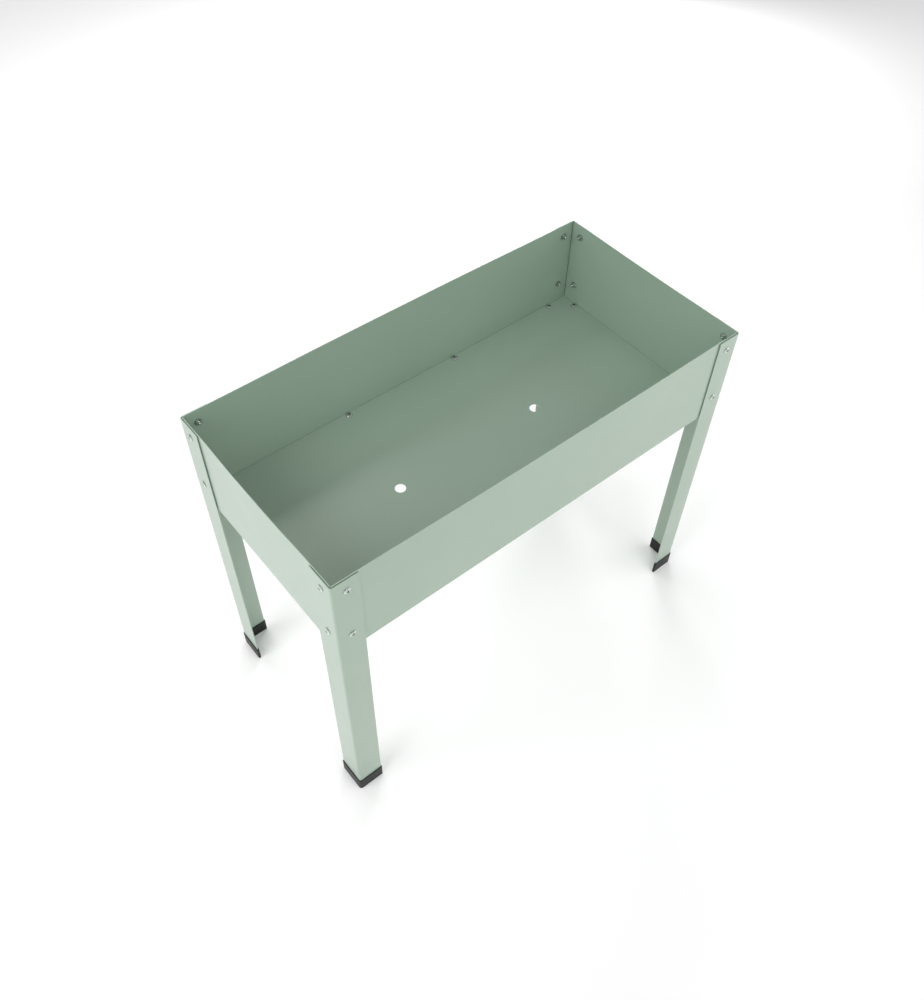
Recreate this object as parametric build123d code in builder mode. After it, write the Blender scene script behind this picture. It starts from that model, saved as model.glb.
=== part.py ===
from build123d import *
import os

# Raised planter on legs: an open sheet-metal trough bolted between four angle legs.
# Millimetres, +Z up, X along the length. The origin is on the ground, under the centre.

# ---- overall size ----
length = 1000.0             # over the outer faces of the legs, along X
width = 489.0               # over the outer faces of the legs, along Y
height = 794.0              # ground to rim
trough_depth = 215.0        # rim to the underside of the wall panels

# ---- sheet metal ----
leg_sheet = 2.0
leg_flange_long = 57.0      # outside width of the flange on the planter's long side
leg_flange_short = 63.0     # the same on its short side
leg_bend = 5.0              # outside radius of the leg's corner
leg_top_drop = 2.0          # the legs end this far below the panels' rim
panel_sheet = 1.5
panel_bend = 2.0            # outside radius of the bend at the foot of a wall
panel_ledge = 20.0          # inward ledge at the foot of a wall, which carries the floor
floor_sheet = 1.0
edge_round = 0.4            # rounded, coated edges of cut sheet
leg_gap = 1.0               # air between a leg and the panel behind it
corner_gap = 1.0            # slit between neighbouring panels at each inside corner
floor_clearance = 0.7       # between the floor sheet's edge and the walls
mitre_gap = 1.0             # between the mitred ends of two ledges

# ---- bolted joints, M6 ----
bolt_inset = 31.0           # from a leg's outside corner to its bolts
bolt_drops = (31.0, 164.0)  # below the rim
bolt_hole = 6.6
boss_top = 9.0              # radius of the pressed boss that bridges the gap at a bolt
dish_floor = 8.2            # radius of the flat inside the boss, where the nut sits
boss_slope = 1.0            # the boss and the dish are this much wider at their mouths
floor_bolt_inset = 12.5     # from the outer face of the legs to the floor's bolts
floor_bolts_long = (-438.0, -146.0, 146.0, 438.0)
floor_bolts_short = (-198.0, 198.0)

# ---- M6 x 12 truss-head screw with a cross recess ----
screw_shank = 6.0
screw_length = 12.0
head_width = 15.0
head_height = 3.6
head_rim = 0.7              # upright band at the foot of the dome
recess_span = 7.6
recess_slot = 1.8
recess_depth = 2.4
recess_taper = 12.0
screw_chamfer = 0.7

# ---- M6 flange nut ----
nut_flats = 10.0
nut_height = 6.0
nut_bore = 6.1
nut_skirt = 14.2            # diameter of the round flange
nut_skirt_edge = 1.0        # thickness of that flange at its edge
nut_skirt_rise = 0.9
nut_corner_cut = 0.5        # height of the bevel on the six corners

# ---- drain holes ----
drain_hole = 23.0
drain_spacing = 366.0       # between the two hole centres, on the long centre line
drain_round = 0.3

# ---- foot caps ----
cap_height = 37.0
cap_floor = 4.0
cap_wall = 1.8
cap_clearance = 0.3
cap_round_top = 0.8
cap_round_foot = 1.5

# ---- derived places ----
rim = height
wall_foot = height - trough_depth
wall_outer = leg_sheet + leg_gap             # depth of a panel's outer face behind the leg's
wall_inner = wall_outer + panel_sheet
ledge_top = wall_foot + panel_sheet
floor_top = ledge_top + floor_sheet
nut_corners = 2 * nut_flats / 3**0.5         # width of the hexagon across its corners
panel_end = wall_inner + corner_gap          # from the leg's outer face to a panel's end
UP = (0, 0, 1)
EXTRA = 5.0                                  # how far a cutter passes the face that it opens
mitre_reach = panel_ledge + EXTRA

# Each corner: side of the centre in X and Y, and the direction inward along one flange
# that makes the other flange lie a quarter turn to its left.
corners = {
    "front_left": (-1, -1, (1, 0, 0)),
    "front_right": (1, -1, (0, 1, 0)),
    "rear_right": (1, 1, (-1, 0, 0)),
    "rear_left": (-1, 1, (0, -1, 0)),
}

# Each side: direction along the panel, direction inward, its own span, and the span across.
sides = {
    "front": ((1, 0, 0), (0, 1, 0), length, width),
    "right": ((0, 1, 0), (-1, 0, 0), width, length),
    "rear": ((-1, 0, 0), (0, -1, 0), length, width),
    "left": ((0, -1, 0), (1, 0, 0), width, length),
}


def corner_plane(corner, z):
    """Level plane at a leg's outside corner, with both axes pointing inward."""
    side_x, side_y, inward = corners[corner]
    return Plane(origin=(side_x * length / 2, side_y * width / 2, z), x_dir=inward, z_dir=UP)


def leg_bolt_planes(corner, depth=0.0, outward=1):
    """Planes of one leg's four bolts, a given depth behind its outer faces."""
    side_x, side_y, _ = corners[corner]
    planes = []
    for drop in bolt_drops:
        along_x = (side_x * (length / 2 - bolt_inset), side_y * (width / 2 - depth), rim - drop)
        along_y = (side_x * (length / 2 - depth), side_y * (width / 2 - bolt_inset), rim - drop)
        planes.append(Plane(origin=along_x, x_dir=UP, z_dir=(0, side_y * outward, 0)))
        planes.append(Plane(origin=along_y, x_dir=UP, z_dir=(side_x * outward, 0, 0)))
    return planes


def side_point(side, along, depth, z):
    """Point on one side of the planter, a given depth in from the leg's outer face."""
    along_dir, inward, _, across = sides[side]
    spot = Vector(*along_dir) * along + Vector(*inward) * (depth - across / 2)
    return (spot.X, spot.Y, z)


def panel_bolt_planes(side, depth, outward=1):
    """Planes of the four leg bolts that pass through one wall panel."""
    _, inward, span, _ = sides[side]
    normal = Vector(*inward) * -outward
    reach = span / 2 - bolt_inset
    return [
        Plane(origin=side_point(side, end * reach, depth, rim - drop), x_dir=UP, z_dir=normal)
        for end in (-1, 1)
        for drop in bolt_drops
    ]


def floor_bolt_planes(side, z, up=1):
    """Planes of the vertical bolts that hold the floor along one side."""
    rows = floor_bolts_long if sides[side][2] == length else floor_bolts_short
    return [
        Plane(origin=side_point(side, along, floor_bolt_inset, z), x_dir=(1, 0, 0), z_dir=(0, 0, up))
        for along in rows
    ]


def export(builder, name):
    builder.part.label = name
    export_step(builder.part, f"parts/{name}.step")


def angle_outline(corner, grow=0.0):
    """Sketch of one leg's angle section, grown by a margin, for that corner's level plane."""
    starts_long = corners[corner][2][0] != 0
    first, second = leg_flange_short, leg_flange_long
    if starts_long:
        first, second = second, first
    with BuildSketch() as outline:
        with BuildLine():
            Polyline(
                (0, 0),
                (first, 0),
                (first, leg_sheet),
                (leg_sheet, leg_sheet),
                (leg_sheet, second),
                (0, second),
                close=True,
            )
        make_face()
        by_corner = outline.vertices().sort_by(lambda v: v.X + v.Y)
        fillet(by_corner[0], leg_bend)
        by_corner = outline.vertices().sort_by_distance((leg_sheet, leg_sheet))
        fillet(by_corner[0], leg_bend - leg_sheet)
        tips = outline.vertices().filter_by(lambda v: max(v.X, v.Y) > leg_flange_long - EXTRA)
        fillet(tips, edge_round)
        if grow:
            offset(amount=grow, kind=Kind.ARC)
    return outline.sketch


os.makedirs("parts", exist_ok=True)

# ---- legs: one bent angle each, from the foot cap's floor up to just below the rim ----
for corner in corners:
    with BuildPart() as leg:
        with BuildSketch(corner_plane(corner, cap_floor)):
            add(angle_outline(corner))
        extrude(amount=rim - leg_top_drop - cap_floor)
        fillet(leg.edges().group_by(Axis.Z)[-1], edge_round)
        with BuildSketch(*leg_bolt_planes(corner)):
            Circle(bolt_hole / 2)
        extrude(amount=-2 * leg_sheet, mode=Mode.SUBTRACT)
    export(leg, f"leg_{corner}")

# ---- foot caps: black sleeves pushed over the legs' lower ends ----
for corner in corners:
    with BuildPart() as cap:
        with BuildSketch(corner_plane(corner, 0)):
            add(angle_outline(corner, grow=cap_clearance + cap_wall))
        extrude(amount=cap_height)
        fillet(cap.edges().group_by(Axis.Z)[-1], cap_round_top)
        fillet(cap.edges().group_by(Axis.Z)[0], cap_round_foot)
        with BuildSketch(corner_plane(corner, cap_floor)):
            add(angle_outline(corner, grow=cap_clearance))
        extrude(amount=cap_height, mode=Mode.SUBTRACT)
    export(cap, f"foot_cap_{corner}")

# ---- wall panels: a flat wall with an inward ledge at its foot ----
for side, (along_dir, inward, span, across) in sides.items():
    half = span / 2 - panel_end
    section_plane = Plane(origin=side_point(side, 0, 0, 0), x_dir=inward, z_dir=along_dir)
    plan_plane = Plane(origin=side_point(side, 0, 0, wall_foot - EXTRA), x_dir=along_dir, z_dir=UP)
    with BuildPart() as panel:
        with BuildSketch(section_plane) as section:
            with BuildLine():
                Polyline(
                    (wall_outer, rim),
                    (wall_outer, wall_foot),
                    (wall_outer + panel_ledge, wall_foot),
                    (wall_outer + panel_ledge, ledge_top),
                    (wall_inner, ledge_top),
                    (wall_inner, rim),
                    close=True,
                )
            make_face()
            fillet(section.vertices().sort_by_distance((wall_outer, wall_foot))[0], panel_bend)
            fillet(section.vertices().sort_by_distance((wall_inner, ledge_top))[0],
                   panel_bend - panel_sheet)
            fillet(section.vertices().group_by(Axis.Y)[-1], edge_round)
            fillet(section.vertices().group_by(Axis.X)[-1], edge_round)
        extrude(amount=half, both=True)

        # Bosses pressed out to the leg's inner face, with a dish inside for each nut.
        with BuildSketch(*panel_bolt_planes(side, wall_outer)):
            Circle(boss_top + boss_slope)
        extrude(amount=leg_gap, taper=45)
        with BuildSketch(*panel_bolt_planes(side, wall_inner)):
            Circle(dish_floor + boss_slope)
        extrude(amount=leg_gap, taper=45, mode=Mode.SUBTRACT)
        with BuildSketch(*panel_bolt_planes(side, wall_inner)):
            Circle(bolt_hole / 2)
        extrude(amount=2 * wall_inner, both=True, mode=Mode.SUBTRACT)

        # The ledge's ends are mitred, so that neighbouring ledges meet at 45 degrees.
        with BuildSketch(plan_plane):
            for end in (-1, 1):
                with BuildLine():
                    Polyline(
                        (end * (half - mitre_gap), wall_inner),
                        (end * (half + EXTRA), wall_inner),
                        (end * (half + EXTRA), wall_inner + mitre_reach),
                        (end * (half - mitre_gap - mitre_reach), wall_inner + mitre_reach),
                        close=True,
                    )
                make_face()
        extrude(amount=EXTRA + panel_bend + panel_sheet, mode=Mode.SUBTRACT)
        with BuildSketch(*floor_bolt_planes(side, wall_foot)):
            Circle(bolt_hole / 2)
        extrude(amount=EXTRA, both=True, mode=Mode.SUBTRACT)
    export(panel, f"panel_{side}")

# ---- floor: a flat sheet on the ledges, with two drain holes ----
floor_inset = wall_inner + floor_clearance
with BuildPart() as floor:
    with BuildSketch(Plane.XY.offset(ledge_top)):
        Rectangle(length - 2 * floor_inset, width - 2 * floor_inset)
        with GridLocations(drain_spacing, 0, 2, 1):
            Circle(drain_hole / 2, mode=Mode.SUBTRACT)
    extrude(amount=floor_sheet)
    drain_rims = floor.edges().filter_by(GeomType.CIRCLE).group_by(Axis.Z)[-1]
    fillet(drain_rims, drain_round)
    for side in sides:
        with BuildSketch(*floor_bolt_planes(side, ledge_top)):
            Circle(bolt_hole / 2)
        extrude(amount=EXTRA, both=True, mode=Mode.SUBTRACT)
export(floor, "floor_panel")

# ---- one screw, head up, with its seat at the origin ----
with BuildPart() as screw:
    with BuildSketch(Plane.XZ):
        with BuildLine():
            Line((0, 0), (head_width / 2, 0))
            Line((head_width / 2, 0), (head_width / 2, head_rim))
            TangentArc((0, head_height), (head_width / 2, head_rim), tangent=(1, 0))
            Line((0, head_height), (0, 0))
        make_face()
    revolve(axis=Axis.Z)
    with BuildSketch(Plane.XY):
        Circle(screw_shank / 2)
    extrude(amount=-screw_length)
    chamfer(screw.edges().group_by(Axis.Z)[0], screw_chamfer)
    with BuildSketch(Plane.XY.offset(head_height)):
        Rectangle(recess_span, recess_slot)
        Rectangle(recess_slot, recess_span)
    extrude(amount=-recess_depth, taper=recess_taper, mode=Mode.SUBTRACT)

# ---- one flange nut, with its seat at the origin ----
with BuildPart() as nut:
    with BuildSketch(Plane.XY):
        RegularPolygon(nut_flats / 2, 6, major_radius=False)
    extrude(amount=nut_height)
    with BuildSketch(Plane.XZ):
        with BuildLine():
            Polyline(
                (0, 0),
                (nut_corners / 2, 0),
                (nut_corners / 2, nut_height - nut_corner_cut),
                (nut_flats / 2, nut_height),
                (0, nut_height),
                close=True,
            )
        make_face()
    revolve(axis=Axis.Z, mode=Mode.INTERSECT)
    with BuildSketch(Plane.XZ):
        with BuildLine():
            Polyline(
                (0, 0),
                (nut_skirt / 2, 0),
                (nut_skirt / 2, nut_skirt_edge),
                (nut_flats / 2, nut_skirt_edge + nut_skirt_rise),
                (0, nut_skirt_edge + nut_skirt_rise),
                close=True,
            )
        make_face()
    revolve(axis=Axis.Z)
    with BuildSketch(Plane.XY):
        Circle(nut_bore / 2)
    extrude(amount=nut_height, mode=Mode.SUBTRACT)

# ---- leg screws outside, nuts in the dishes inside ----
for corner in corners:
    with BuildPart() as leg_screws:
        with Locations(*leg_bolt_planes(corner)):
            add(screw.part)
    export(leg_screws, f"leg_screws_{corner}")
    with BuildPart() as leg_nuts:
        with Locations(*leg_bolt_planes(corner, depth=leg_sheet + panel_sheet, outward=-1)):
            add(nut.part)
    export(leg_nuts, f"leg_nuts_{corner}")

# ---- floor screws from above, nuts under the ledges ----
for side in sides:
    with BuildPart() as floor_screws:
        with Locations(*floor_bolt_planes(side, floor_top)):
            add(screw.part)
    export(floor_screws, f"floor_screws_{side}")
    with BuildPart() as floor_nuts:
        with Locations(*floor_bolt_planes(side, wall_foot, up=-1)):
            add(nut.part)
    export(floor_nuts, f"floor_nuts_{side}")
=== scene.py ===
import math

import bmesh
import bpy
from mathutils import Matrix, Vector


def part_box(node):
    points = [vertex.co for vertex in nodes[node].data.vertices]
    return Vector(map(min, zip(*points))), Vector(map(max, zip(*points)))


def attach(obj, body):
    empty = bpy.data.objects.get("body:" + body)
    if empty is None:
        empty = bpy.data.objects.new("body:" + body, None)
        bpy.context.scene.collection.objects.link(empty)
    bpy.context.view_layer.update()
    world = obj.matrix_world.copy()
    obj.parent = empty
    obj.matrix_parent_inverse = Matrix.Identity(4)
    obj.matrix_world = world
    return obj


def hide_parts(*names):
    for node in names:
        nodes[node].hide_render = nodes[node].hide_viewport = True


# Raised planter on legs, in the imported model's frame: metres, +Z up, X along the length.
# Front is -Y and left is -X.

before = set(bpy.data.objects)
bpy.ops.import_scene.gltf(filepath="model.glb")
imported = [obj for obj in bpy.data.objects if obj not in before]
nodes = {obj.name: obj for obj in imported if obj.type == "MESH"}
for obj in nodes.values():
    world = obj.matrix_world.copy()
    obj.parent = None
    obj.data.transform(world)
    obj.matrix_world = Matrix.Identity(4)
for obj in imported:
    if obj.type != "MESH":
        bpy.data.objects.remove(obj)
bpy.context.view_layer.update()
scene = bpy.context.scene

# ---------------------------------------------------------------- camera

CAMERA_PLACE = (-0.8970, -1.0268, 2.0792)
CAMERA_AZIMUTH = -40.56     # degrees, from looking along +Y
CAMERA_ELEVATION = 50.88    # degrees that the camera looks down
CAMERA_ROLL = 1.62          # degrees
FOCAL_PIXELS = 962.1
IMAGE_HEIGHT = 1000         # pixels, the image's longer side
SENSOR = 36.0               # mm, along that side

azimuth = math.radians(CAMERA_AZIMUTH)
elevation = math.radians(CAMERA_ELEVATION)
roll = math.radians(CAMERA_ROLL)
level_forward = Vector((-math.sin(azimuth), math.cos(azimuth), 0)) * math.cos(elevation)
forward = level_forward - Vector((0, 0, math.sin(elevation)))
level_right = forward.cross(Vector((0, 0, 1))).normalized()
level_up = level_right.cross(forward)
right = level_right * math.cos(roll) + level_up * math.sin(roll)
up = right.cross(forward)

camera_data = bpy.data.cameras.new("camera")
camera_data.sensor_width = SENSOR
camera_data.lens = FOCAL_PIXELS * SENSOR / IMAGE_HEIGHT
camera = bpy.data.objects.new("camera", camera_data)
scene.collection.objects.link(camera)
rotation = Matrix((right, up, -forward)).transposed()
camera.matrix_world = Matrix.Translation(CAMERA_PLACE) @ rotation.to_4x4()
scene.camera = camera

# ---------------------------------------------------------------- material helpers


def new_material(name):
    """A material with one Principled shader, and the object's own coordinates."""
    material = bpy.data.materials.new(name)
    material.use_nodes = True
    tree = material.node_tree
    shader = tree.nodes["Principled BSDF"]
    coords = tree.nodes.new("ShaderNodeTexCoord")
    return material, tree, shader, coords.outputs["Object"]


def noise(tree, vector, scale, detail=2.0, roughness=0.5):
    """Cloudy noise, mostly between 0.3 and 0.7. The scale is in cells per metre."""
    node = tree.nodes.new("ShaderNodeTexNoise")
    node.inputs["Scale"].default_value = scale
    node.inputs["Detail"].default_value = detail
    node.inputs["Roughness"].default_value = roughness
    tree.links.new(vector, node.inputs["Vector"])
    return node.outputs["Fac"]


def spread(tree, value, low, high, from_value=0.3, to_value=0.7):
    """Maps a value, a noise by default, onto the range from low to high, and clamps it."""
    node = tree.nodes.new("ShaderNodeMapRange")
    node.inputs["From Min"].default_value = from_value
    node.inputs["From Max"].default_value = to_value
    node.inputs["To Min"].default_value = low
    node.inputs["To Max"].default_value = high
    tree.links.new(value, node.inputs["Value"])
    return node.outputs["Result"]


def blotches(tree, vector, scale, detail=2.0, roughness=0.5):
    """Cloudy noise that fills the range from 0 to 1."""
    return spread(tree, noise(tree, vector, scale, detail, roughness), 0.0, 1.0)


def vary_roughness(tree, shader, vector, low, high, scale, detail):
    """Lets the shader's roughness drift between two values."""
    gloss = spread(tree, noise(tree, vector, scale, detail), low, high)
    tree.links.new(gloss, shader.inputs["Roughness"])


def mix_colour(tree, factor, first, second):
    """Mixes two colours, each a plain one or another node's output."""
    node = tree.nodes.new("ShaderNodeMix")
    node.data_type = "RGBA"
    tree.links.new(factor, node.inputs["Factor"])
    for socket, colour in ((node.inputs["A"], first), (node.inputs["B"], second)):
        if isinstance(colour, tuple):
            socket.default_value = (*colour, 1.0)
        else:
            tree.links.new(colour, socket)
    return node.outputs["Result"]


def bump(tree, height, distance, strength=1.0, before=None):
    """A normal roughened by a height, on top of an earlier bump if one is given."""
    node = tree.nodes.new("ShaderNodeBump")
    node.inputs["Distance"].default_value = distance
    node.inputs["Strength"].default_value = strength
    tree.links.new(height, node.inputs["Height"])
    if before is not None:
        tree.links.new(before, node.inputs["Normal"])
    return node.outputs["Normal"]


# The cosine between a face's own normal and the normal averaged around it: at or below the
# first value the face counts as an edge, and at or above the second as flat.
EDGE_COSINE = 0.75
FLAT_COSINE = 0.99
EDGE_SAMPLES = 4


def edge_mask(tree, radius):
    """0 on flat faces, rising to 1 where the surface turns within a small radius."""
    bevel = tree.nodes.new("ShaderNodeBevel")
    bevel.samples = EDGE_SAMPLES
    bevel.inputs["Radius"].default_value = radius
    plain = tree.nodes.new("ShaderNodeNewGeometry")
    dot = tree.nodes.new("ShaderNodeVectorMath")
    dot.operation = "DOT_PRODUCT"
    tree.links.new(bevel.outputs["Normal"], dot.inputs[0])
    tree.links.new(plain.outputs["Normal"], dot.inputs[1])
    return spread(tree, dot.outputs["Value"], 1.0, 0.0, EDGE_COSINE, FLAT_COSINE)


# Shade from the ambient occlusion: fully hollow below the first value, open above the second.
HOLLOW_LIGHT = 0.50
OPEN_LIGHT = 0.95
HOLLOW_SAMPLES = 6


def open_mask(tree, reach):
    """1 on open faces, falling to 0 where other faces crowd round within the reach."""
    occlusion = tree.nodes.new("ShaderNodeAmbientOcclusion")
    occlusion.samples = HOLLOW_SAMPLES
    occlusion.inputs["Distance"].default_value = reach
    return spread(tree, occlusion.outputs["AO"], 0.0, 1.0, HOLLOW_LIGHT, OPEN_LIGHT)


# ---------------------------------------------------------------- materials


def powder_coat():
    """Satin sage-green powder coat: orange peel, drift of tone and gloss, and paler edges
    where the coat runs thin, which also paint a highlight along the rims.
    """
    material, tree, shader, where = new_material("green_powder_coat")
    drift = blotches(tree, where, scale=3.0, detail=3.0)
    speck = blotches(tree, where, scale=900.0)
    low = mix_colour(tree, drift, (0.290, 0.394, 0.306), (0.308, 0.412, 0.324))
    high = mix_colour(tree, drift, (0.310, 0.414, 0.326), (0.328, 0.434, 0.344))
    body = mix_colour(tree, speck, low, high)
    # Paler edges: partly the coat running thin there, partly a painted highlight along the
    # rims and edges.
    paler_edges = mix_colour(tree, edge_mask(tree, radius=0.0012), body, (0.37, 0.48, 0.39))
    tree.links.new(paler_edges, shader.inputs["Base Color"])
    vary_roughness(tree, shader, where, low=0.48, high=0.58, scale=14.0, detail=4.0)
    shader.inputs["Coat Weight"].default_value = 1.0
    shader.inputs["Coat Roughness"].default_value = 0.28
    peel_height = noise(tree, where, scale=420.0)
    peel = bump(tree, peel_height, distance=0.00012, strength=0.5)
    fine_height = noise(tree, where, scale=1500.0)
    fine_peel = bump(tree, fine_height, distance=0.00004, strength=0.4, before=peel)
    tree.links.new(fine_peel, shader.inputs["Normal"])
    return material


def zinc():
    """Zinc-plated steel: faint mottling, lighter edges, and painted shade in the recesses."""
    material, tree, shader, where = new_material("zinc_plate")
    mottle = blotches(tree, where, scale=300.0, detail=4.0, roughness=0.6)
    colour = mix_colour(tree, mottle, (0.52, 0.59, 0.54), (0.68, 0.75, 0.70))
    lighter_edges = mix_colour(tree, edge_mask(tree, radius=0.0004), colour, (0.84, 0.88, 0.85))
    # Painted shade: the colour darkens to near black in the recesses and wherever other faces
    # stand close, as the ambient occlusion finds them.
    painted_shade = mix_colour(tree, open_mask(tree, reach=0.004), (0.05, 0.07, 0.05), lighter_edges)
    tree.links.new(painted_shade, shader.inputs["Base Color"])
    shader.inputs["Metallic"].default_value = 1.0
    vary_roughness(tree, shader, where, low=0.16, high=0.28, scale=700.0, detail=3.0)
    fine = bump(tree, noise(tree, where, scale=2200.0), distance=0.00002, strength=0.5)
    tree.links.new(fine, shader.inputs["Normal"])
    return material


def black_plastic():
    """Moulded black plastic with a fine spark-eroded grain and paler scuffed edges."""
    material, tree, shader, where = new_material("black_plastic")
    tone = blotches(tree, where, scale=60.0, detail=3.0)
    colour = mix_colour(tree, tone, (0.008, 0.009, 0.009), (0.015, 0.017, 0.016))
    paler_edges = mix_colour(tree, edge_mask(tree, radius=0.0010), colour, (0.034, 0.036, 0.035))
    tree.links.new(paler_edges, shader.inputs["Base Color"])
    shader.inputs["Specular IOR Level"].default_value = 0.22
    vary_roughness(tree, shader, where, low=0.36, high=0.50, scale=250.0, detail=3.0)
    grain_height = noise(tree, where, scale=1400.0, detail=3.0)
    grain = bump(tree, grain_height, distance=0.00006, strength=0.6)
    tree.links.new(grain, shader.inputs["Normal"])
    return material


green = powder_coat()
steel = zinc()
plastic = black_plastic()

for name, node in nodes.items():
    if name.startswith("foot_cap"):
        finish = plastic
    elif "screws" in name or "nuts" in name:
        finish = steel
    else:
        finish = green
    node.data.materials.clear()
    node.data.materials.append(finish)

# ---------------------------------------------------------------- bowed walls

# Each wall's outward direction, and how far its rim springs that way midway between its legs.
RIM_BOWS = {
    "front": (Vector((0, -1, 0)), 0.0022),
    "rear": (Vector((0, 1, 0)), 0.0028),
    "left": (Vector((-1, 0, 0)), 0.0020),
    "right": (Vector((1, 0, 0)), -0.0013),
}
LEG_GRIP = 0.070            # length at each end that the bolted legs hold flat
WALL_CUTS = 28              # columns that a wall is divided into, so that it can bow
FOOT_BEND = 0.006           # height at the wall's foot, with its bend, that stays straight
SHARP_ANGLE = math.radians(30)


def cut(shape, place, normal):
    """Divides the faces and edges that cross a plane, so that they can bend there."""
    everything = shape.verts[:] + shape.edges[:] + shape.faces[:]
    bmesh.ops.bisect_plane(shape, geom=everything, plane_co=place, plane_no=normal)


def bowed_wall(side, outward, bow):
    """The CAD wall with its rim sprung a little outward or inward between the legs."""
    name = f"panel_{side}"
    low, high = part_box(name)
    along = 0 if outward.y else 1
    centre = (low[along] + high[along]) / 2
    half = (high[along] - low[along]) / 2
    direction = Vector((1, 0, 0)) if along == 0 else Vector((0, 1, 0))
    mesh = nodes[name].data.copy()
    shape = bmesh.new()
    shape.from_mesh(mesh)
    for step in range(1, WALL_CUTS):
        cut(shape, direction * (low[along] + 2 * half * step / WALL_CUTS), direction)
    fold = low[2] + FOOT_BEND
    cut(shape, (0, 0, fold), (0, 0, 1))
    # The bow is full midway, fades out smoothly towards the legs, and shrinks evenly from the
    # rim down to the foot.
    for vertex in shape.verts:
        reach = min(1.0, abs(vertex.co[along] - centre) / (half - LEG_GRIP))
        rise = max(0.0, (vertex.co.z - fold) / (high[2] - fold))
        vertex.co += outward * bow * rise * (1 - reach**3) ** 2
    shape.to_mesh(mesh)
    shape.free()
    # The CAD mesh's own normals no longer fit the bowed faces.
    mesh.attributes.remove(mesh.attributes["custom_normal"])
    mesh.shade_smooth()
    mesh.set_sharp_from_angle(angle=SHARP_ANGLE)
    wall = bpy.data.objects.new(f"wall_{side}", mesh)
    scene.collection.objects.link(wall)
    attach(wall, "root")
    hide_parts(name)


for side, (outward, bow) in RIM_BOWS.items():
    bowed_wall(side, outward, bow)

# ---------------------------------------------------------------- floor and light

# The softboxes light the floor near the object, and further out its own glow takes over.
FLOOR_SIZE = 40.0
FLOOR_WHITE = 0.92
FLOOR_GLOW_NEAR = 0.06
FLOOR_GLOW_FAR = 0.70
GLOW_START = 2.5            # metres from the object's centre at which the glow starts to rise
GLOW_FULL = 7.0             # and at which it is full
bpy.ops.mesh.primitive_plane_add(size=FLOOR_SIZE, location=(0, 0, 0))
floor = bpy.context.object
floor.name = "studio_floor"
floor_material, tree, shader, where = new_material("studio_floor")
shader.inputs["Base Color"].default_value = (FLOOR_WHITE, FLOOR_WHITE, FLOOR_WHITE, 1.0)
shader.inputs["Roughness"].default_value = 0.9
shader.inputs["Emission Color"].default_value = (1, 1, 1, 1)
distance = tree.nodes.new("ShaderNodeVectorMath")
distance.operation = "LENGTH"
tree.links.new(where, distance.inputs[0])
away = distance.outputs["Value"]
glow = spread(tree, away, FLOOR_GLOW_NEAR, FLOOR_GLOW_FAR, GLOW_START, GLOW_FULL)
tree.links.new(glow, shader.inputs["Emission Strength"])
floor.data.materials.append(floor_material)

# The room's walls are plain white where they are seen, and dimmer than that as a light.
ROOM_SEEN = 1.0
ROOM_LIGHT = 0.34
world = bpy.data.worlds.new("studio")
scene.world = world
world.use_nodes = True
room = world.node_tree.nodes["Background"]
room.inputs["Color"].default_value = (1, 1, 1, 1)
ray = world.node_tree.nodes.new("ShaderNodeLightPath")
seen = ray.outputs["Is Camera Ray"]
room_strength = spread(world.node_tree, seen, ROOM_LIGHT, ROOM_SEEN, 0.0, 1.0)
world.node_tree.links.new(room_strength, room.inputs["Strength"])

SOFTBOX_TARGET = Vector((0, 0, 0.5))
# Each softbox's place, the side of its square in metres, and its power in watts.
SOFTBOXES = {
    "left": ((-2.68, 0.0, 2.59), 2.2, 40),
    "near_left": ((-2.0, -0.2, 1.5), 1.6, 8),
    "front": ((0.0, -2.68, 2.59), 2.2, 38),
    "near_right": ((1.7, -1.3, 1.3), 1.6, 10),
    "low_right_back": ((2.38, 2.38, 1.32), 1.6, 60),
    "back": ((0.0, 2.68, 2.59), 2.2, 40),
}
for name, (place, size, power) in SOFTBOXES.items():
    light_data = bpy.data.lights.new(f"softbox_{name}", "AREA")
    light_data.shape = "SQUARE"
    light_data.size = size
    light_data.energy = power
    light = bpy.data.objects.new(f"softbox_{name}", light_data)
    scene.collection.objects.link(light)
    light.location = place
    aim = SOFTBOX_TARGET - Vector(place)
    light.rotation_euler = aim.to_track_quat("-Z", "Y").to_euler()
scene.view_settings.view_transform = "Standard"
